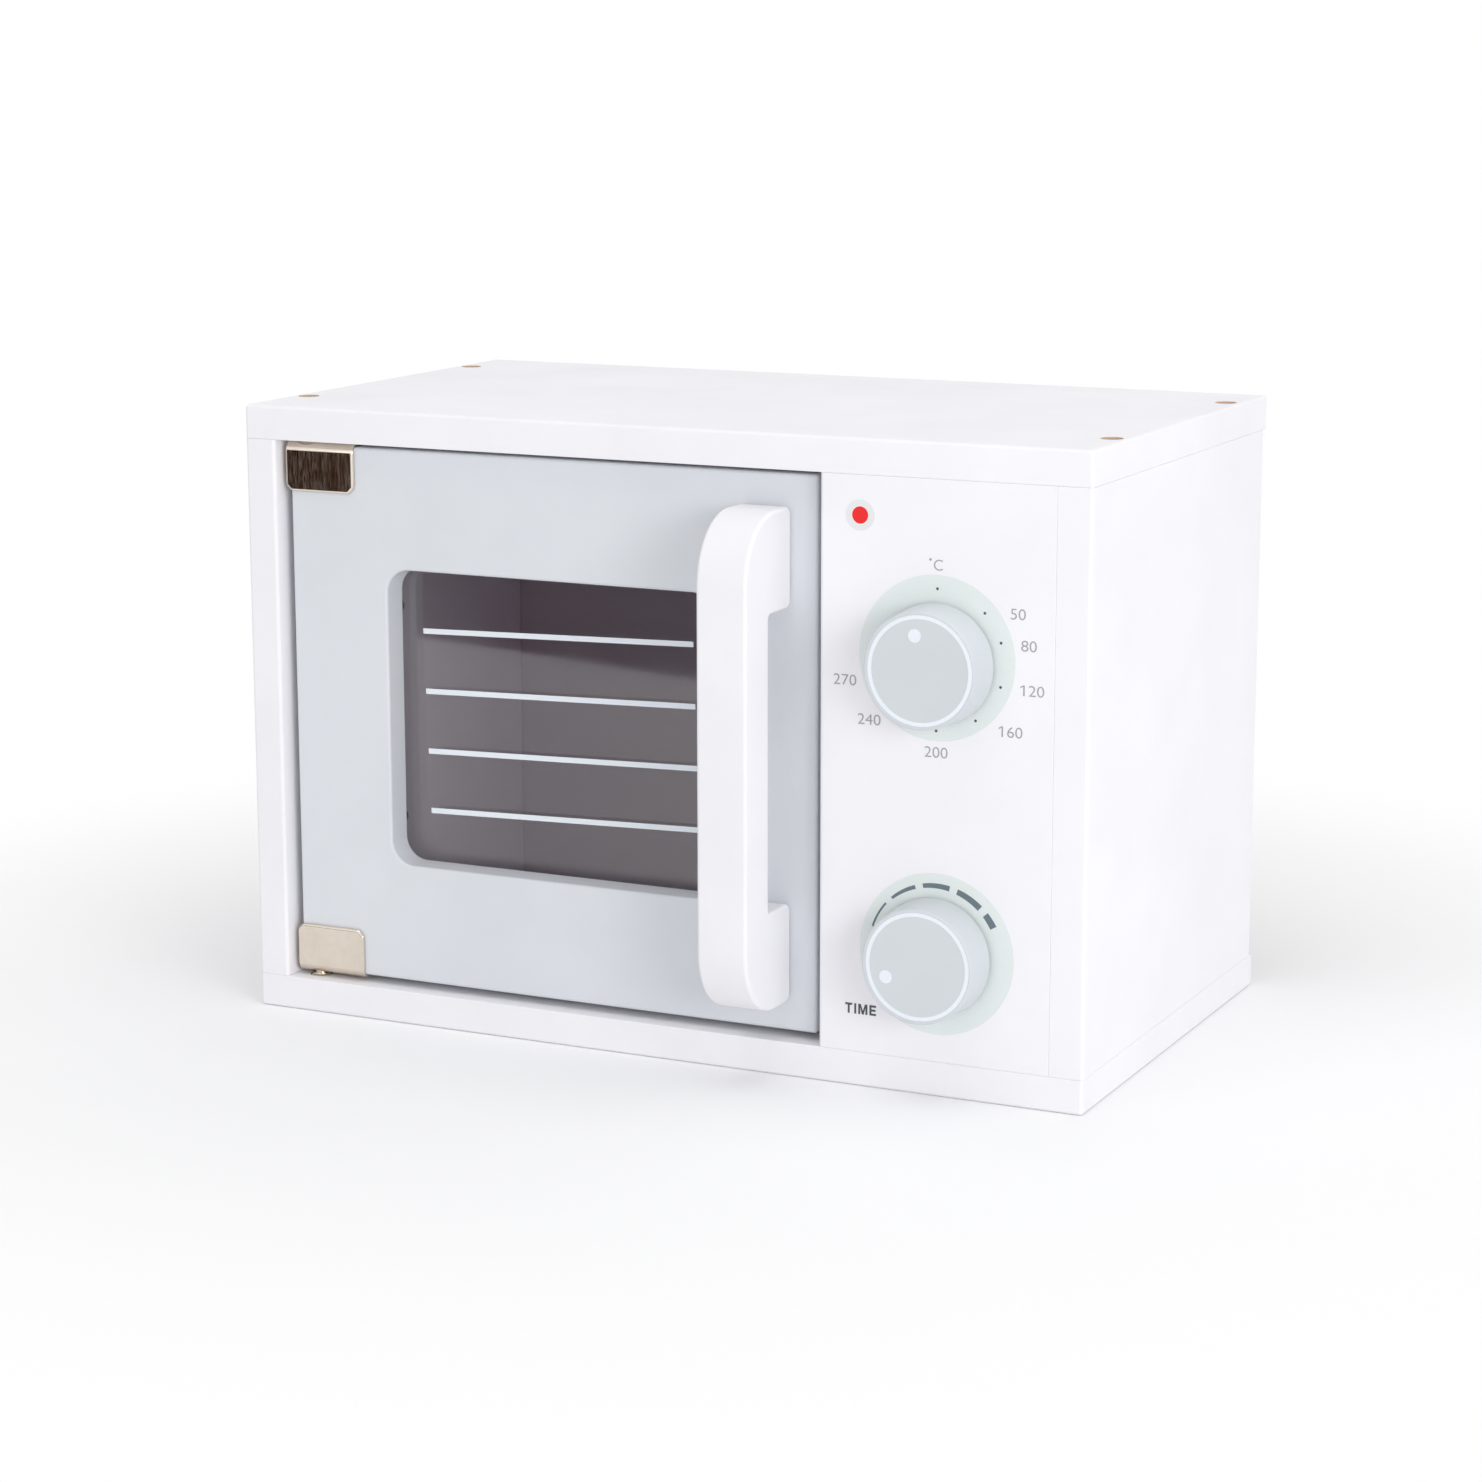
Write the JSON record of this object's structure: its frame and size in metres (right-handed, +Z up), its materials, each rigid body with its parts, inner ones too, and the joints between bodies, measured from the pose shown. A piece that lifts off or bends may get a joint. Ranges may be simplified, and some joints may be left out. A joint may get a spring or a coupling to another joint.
{
  "type": "toy microwave",
  "caption": "Wooden play microwave: white box with a hinged grey door, smoked window, C-shaped handle, magnetic catch and round knobs that turn.",
  "frame": {"origin": "middle of the cabinet's underside, where it rests on a table", "axes": "+Z up, -Y out of the door (the front), +X to the right as seen from the front"},
  "size_m": [0.3, 0.2, 0.207],
  "materials": {
    "white_paint": "white painted fibreboard, satin",
    "door_paint": "pale grey painted fibreboard, satin",
    "knob_paint": "pale grey painted wood, satin",
    "handle_paint": "white painted wood, satin",
    "back_paint": "white faced hardboard",
    "smoked_acrylic": "smoked clear acrylic",
    "nickel": "nickel plated steel",
    "zinc": "zinc plated steel",
    "white_nylon": "white nylon",
    "ferrite": "bare ferrite",
    "beech": "bare beech dowel",
    "felt": "grey felt"
  },
  "bodies": {
    "cabinet": {"back_panel": "back_paint", "back_screw_left_lower": "zinc", "back_screw_left_upper": "zinc", "back_screw_right_lower": "zinc", "back_screw_right_upper": "zinc", "bottom_panel": "white_paint", "bottom_screw_divider_front": "zinc", "bottom_screw_divider_rear": "zinc", "bottom_screw_left_front": "zinc", "bottom_screw_left_rear": "zinc", "bottom_screw_right_front": "zinc", "bottom_screw_right_rear": "zinc", "catch_body": "white_nylon", "catch_magnet": "ferrite", "catch_pole_plate_left": "zinc", "catch_pole_plate_right": "zinc", "catch_screw_lower": "zinc", "catch_screw_upper": "zinc", "control_panel": "white_paint", "divider_panel": "white_paint", "left_side_panel": "white_paint", "lower_hinge_bush": "white_nylon", "right_side_panel": "white_paint", "top_panel": "white_paint", "top_screw_left_front": "zinc", "top_screw_left_rear": "zinc", "top_screw_right_front": "zinc", "top_screw_right_rear": "zinc", "upper_hinge_bush": "white_nylon"},
    "door": {"door_handle": "handle_paint", "door_panel": "door_paint", "handle_screw_lower": "zinc", "handle_screw_upper": "zinc", "hinge_thrust_washer": "nickel", "lower_clip_screw_1": "nickel", "lower_clip_screw_2": "nickel", "lower_hinge_clip": "nickel", "lower_hinge_pin": "nickel", "pane_screw_left_lower": "zinc", "pane_screw_left_upper": "zinc", "pane_screw_right_lower": "zinc", "pane_screw_right_upper": "zinc", "strike_plate": "zinc", "strike_screw": "zinc", "upper_clip_screw_1": "nickel", "upper_clip_screw_2": "nickel", "upper_hinge_clip": "nickel", "upper_hinge_pin": "nickel", "window_pane": "smoked_acrylic"},
    "temperature_knob": {"temperature_knob": "knob_paint", "temperature_knob_felt": "felt", "temperature_retaining_screw": "zinc", "temperature_retaining_washer": "zinc", "temperature_spindle": "beech"},
    "timer_knob": {"timer_knob": "knob_paint", "timer_knob_felt": "felt", "timer_retaining_screw": "zinc", "timer_retaining_washer": "zinc", "timer_spindle": "beech"}
  },
  "joints": [
    {"name": "door_swing", "type": "hinge", "parent": "cabinet", "child": "door", "pos_m": [-0.1304, -0.0772, 0.1039], "axis": [0, 0, -1], "range_deg": [0, 110]},
    {"name": "temperature_turn", "type": "hinge", "parent": "cabinet", "child": "temperature_knob", "pos_m": [0.1002, -0.085, 0.1386], "axis": [0, 1, 0], "continuous": true},
    {"name": "timer_turn", "type": "hinge", "parent": "cabinet", "child": "timer_knob", "pos_m": [0.1002, -0.085, 0.0456], "axis": [0, 1, 0], "continuous": true}
  ]
}
